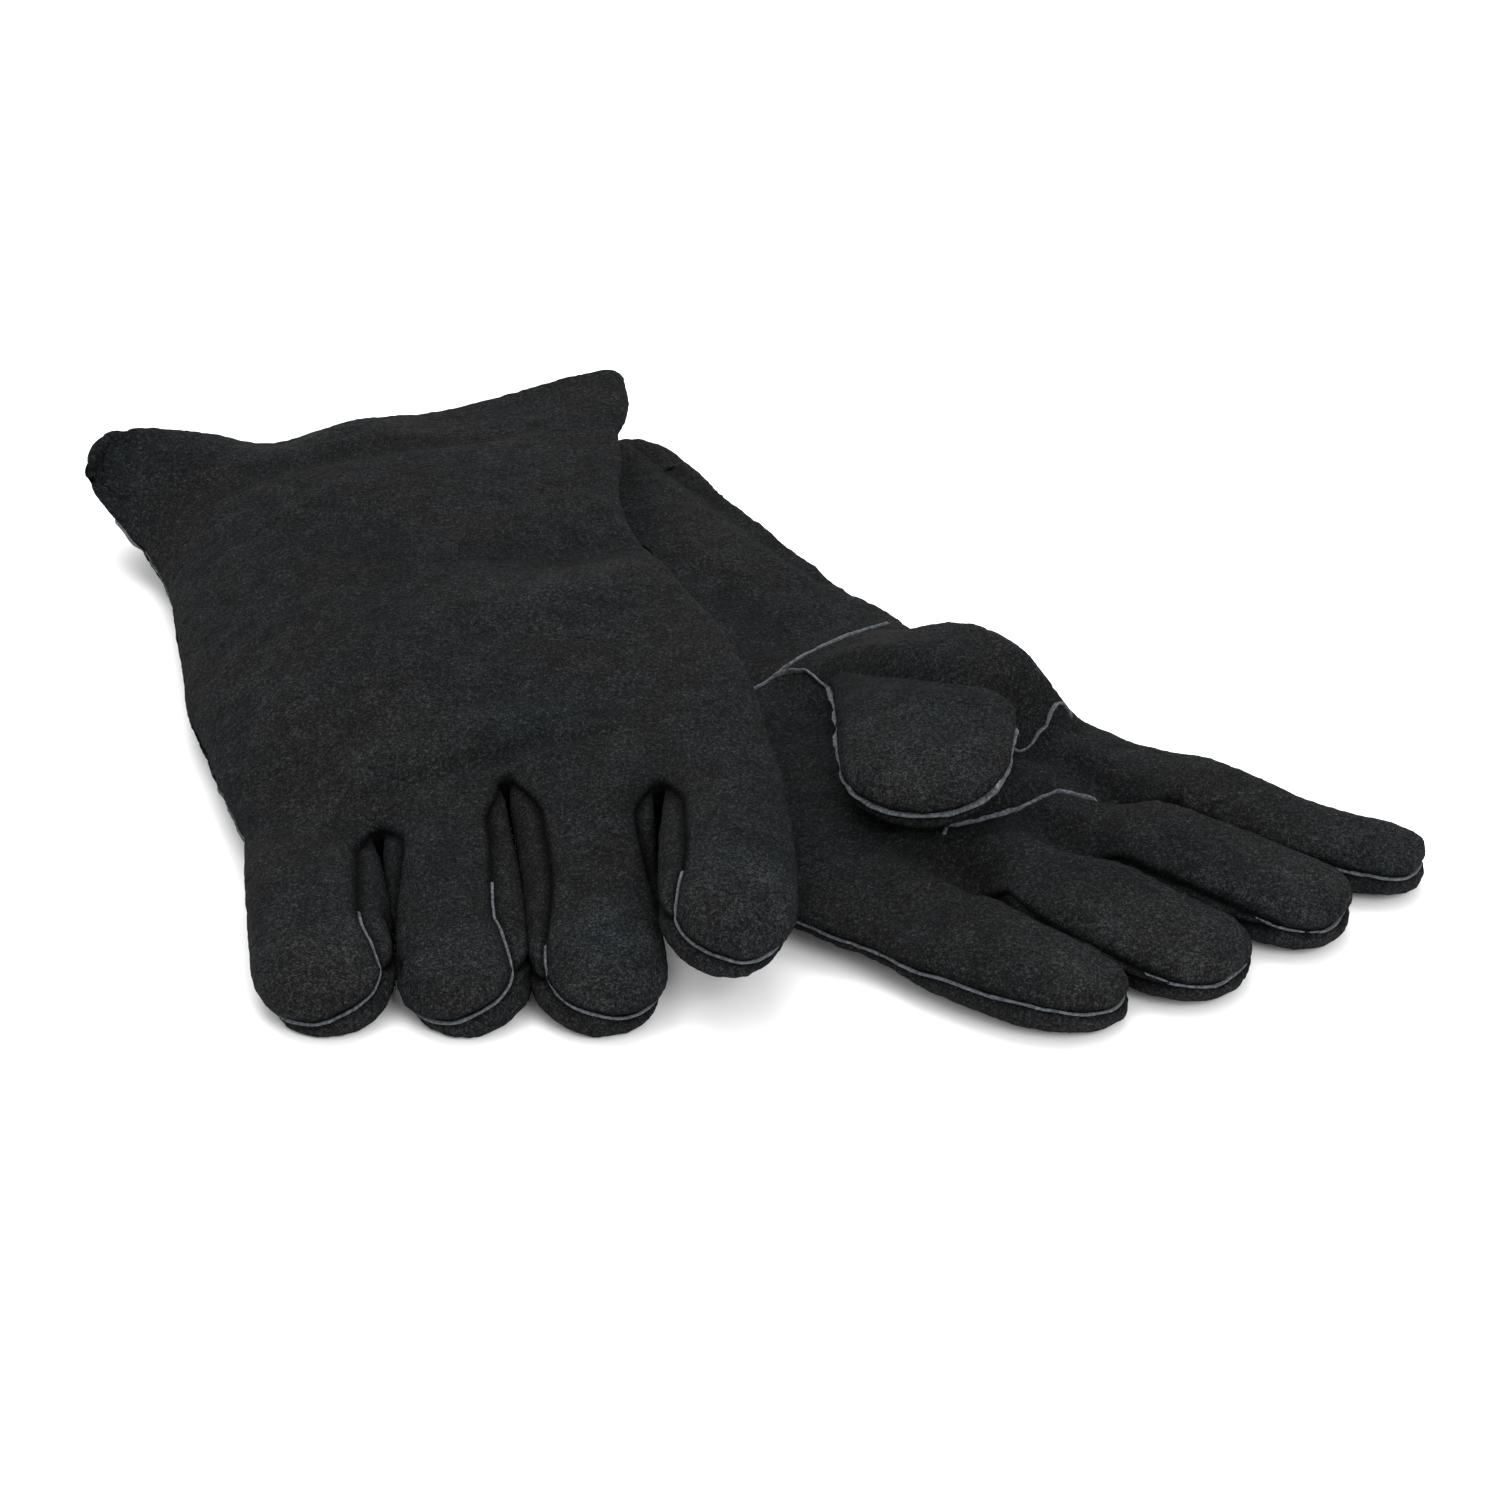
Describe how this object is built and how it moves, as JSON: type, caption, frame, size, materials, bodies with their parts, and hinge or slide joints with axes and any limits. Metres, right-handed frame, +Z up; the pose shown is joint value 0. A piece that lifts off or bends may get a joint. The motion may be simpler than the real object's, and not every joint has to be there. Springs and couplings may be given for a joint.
{
  "type": "heat resistant glove",
  "caption": "Pair of long-cuffed heat resistant gauntlets in dark split leather with welted seams, one lying palm down across the other, which lies palm up.",
  "frame": {"origin": "centre of the pair's footprint, on the surface that it lies on", "axes": "+Z up; +X along the longest side of the pair as it lies, with the upper glove at -X and the lower glove's fingers at +X; the fingertips of the upper glove point to -Y"},
  "size_m": [0.4287, 0.3737, 0.0535],
  "materials": {
    "leather": "brushed suede side of split leather, matt with a short nap",
    "palm_leather": "brushed suede split leather of the palm side",
    "fourchette_leather": "suede split leather side walls of the fingers",
    "welt": "pale grey folded leather piping in the seams",
    "fleece": "cotton fleece",
    "cotton": "woven cotton canvas"
  },
  "bodies": {
    "lower_hand": {"lower_back_panel": "leather", "lower_palm_panel": "palm_leather", "lower_cuff_front": "leather", "lower_hand_lining": "fleece", "lower_cuff_lining": "cotton", "lower_side_welt": "welt", "lower_cuff_welt": "welt", "lower_thumb_wing": "leather"},
    "lower_index": {"lower_index_back": "leather", "lower_index_fourchette_little_side": "fourchette_leather", "lower_index_front": "palm_leather", "lower_index_tip_welt": "welt"},
    "lower_middle": {"lower_middle_back": "leather", "lower_middle_fourchette_index_side": "fourchette_leather", "lower_middle_fourchette_little_side": "fourchette_leather", "lower_middle_front": "palm_leather", "lower_middle_tip_welt": "welt"},
    "lower_ring": {"lower_ring_back": "leather", "lower_ring_fourchette_index_side": "fourchette_leather", "lower_ring_fourchette_little_side": "fourchette_leather", "lower_ring_front": "palm_leather", "lower_ring_tip_welt": "welt"},
    "lower_little": {"lower_little_back": "leather", "lower_little_fourchette_index_side": "fourchette_leather", "lower_little_front": "palm_leather", "lower_little_tip_welt": "welt"},
    "lower_thumb": {"lower_thumb_front": "palm_leather", "lower_thumb_back": "leather", "lower_thumb_lining": "fleece", "lower_thumb_welt": "welt"},
    "upper_hand": {"upper_back_panel": "leather", "upper_palm_panel": "palm_leather", "upper_cuff_front": "leather", "upper_hand_lining": "fleece", "upper_cuff_lining": "cotton", "upper_side_welt": "welt", "upper_cuff_welt": "welt", "upper_thumb_wing": "leather"},
    "upper_index": {"upper_index_back": "leather", "upper_index_fourchette_little_side": "fourchette_leather", "upper_index_front": "palm_leather", "upper_index_tip_welt": "welt"},
    "upper_middle": {"upper_middle_back": "leather", "upper_middle_fourchette_index_side": "fourchette_leather", "upper_middle_fourchette_little_side": "fourchette_leather", "upper_middle_front": "palm_leather", "upper_middle_tip_welt": "welt"},
    "upper_ring": {"upper_ring_back": "leather", "upper_ring_fourchette_index_side": "fourchette_leather", "upper_ring_fourchette_little_side": "fourchette_leather", "upper_ring_front": "palm_leather", "upper_ring_tip_welt": "welt"},
    "upper_little": {"upper_little_back": "leather", "upper_little_fourchette_index_side": "fourchette_leather", "upper_little_front": "palm_leather", "upper_little_tip_welt": "welt"},
    "upper_thumb": {"upper_thumb_front": "palm_leather", "upper_thumb_back": "leather", "upper_thumb_lining": "fleece", "upper_thumb_welt": "welt"}
  },
  "joints": [
    {"name": "upper_glove_lift", "type": "slide", "parent": "lower_hand", "child": "upper_hand", "axis": [0, 0, 1], "range_m": [0, 0.12]},
    {"name": "lower_index_curl", "type": "hinge", "parent": "lower_hand", "child": "lower_index", "pos_m": [0.12137, -0.04785, 0.02067], "axis": [-0.6825, -0.7309, 0], "range_deg": [0, 60]},
    {"name": "lower_middle_curl", "type": "hinge", "parent": "lower_hand", "child": "lower_middle", "pos_m": [0.09849, -0.07365, 0.02042], "axis": [-0.6427, -0.7661, 0], "range_deg": [0, 60]},
    {"name": "lower_ring_curl", "type": "hinge", "parent": "lower_hand", "child": "lower_ring", "pos_m": [0.07708, -0.10068, 0.01958], "axis": [-0.6, -0.8, 0], "range_deg": [0, 60]},
    {"name": "lower_little_curl", "type": "hinge", "parent": "lower_hand", "child": "lower_little", "pos_m": [0.05522, -0.13181, 0.01642], "axis": [-0.552, -0.8339, 0], "range_deg": [0, 60]},
    {"name": "upper_index_bend", "type": "hinge", "parent": "upper_hand", "child": "upper_index", "pos_m": [-0.00099, -0.08309, 0.04584], "axis": [-0.9819, 0.1894, 0], "range_deg": [0, 45]},
    {"name": "upper_middle_bend", "type": "hinge", "parent": "upper_hand", "child": "upper_middle", "pos_m": [-0.04374, -0.07804, 0.04421], "axis": [-0.9992, 0.0398, 0], "range_deg": [0, 45]},
    {"name": "upper_ring_bend", "type": "hinge", "parent": "upper_hand", "child": "upper_ring", "pos_m": [-0.08433, -0.07936, 0.03772], "axis": [-0.9941, -0.1087, 0], "range_deg": [0, 45]},
    {"name": "upper_little_bend", "type": "hinge", "parent": "upper_hand", "child": "upper_little", "pos_m": [-0.12354, -0.08644, 0.02731], "axis": [-0.9695, -0.245, 0], "range_deg": [0, 45]},
    {"name": "lower_thumb_open", "type": "hinge", "parent": "lower_hand", "child": "lower_thumb", "pos_m": [0.0709, -0.0551, 0.054], "axis": [-0.9751, 0.2216, 0], "range_deg": [0, 60]},
    {"name": "upper_thumb_swing", "type": "hinge", "parent": "upper_hand", "child": "upper_thumb", "pos_m": [-0.0061, -0.0171, 0.024], "axis": [0, 0, 1], "range_deg": [0, 18]}
  ]
}
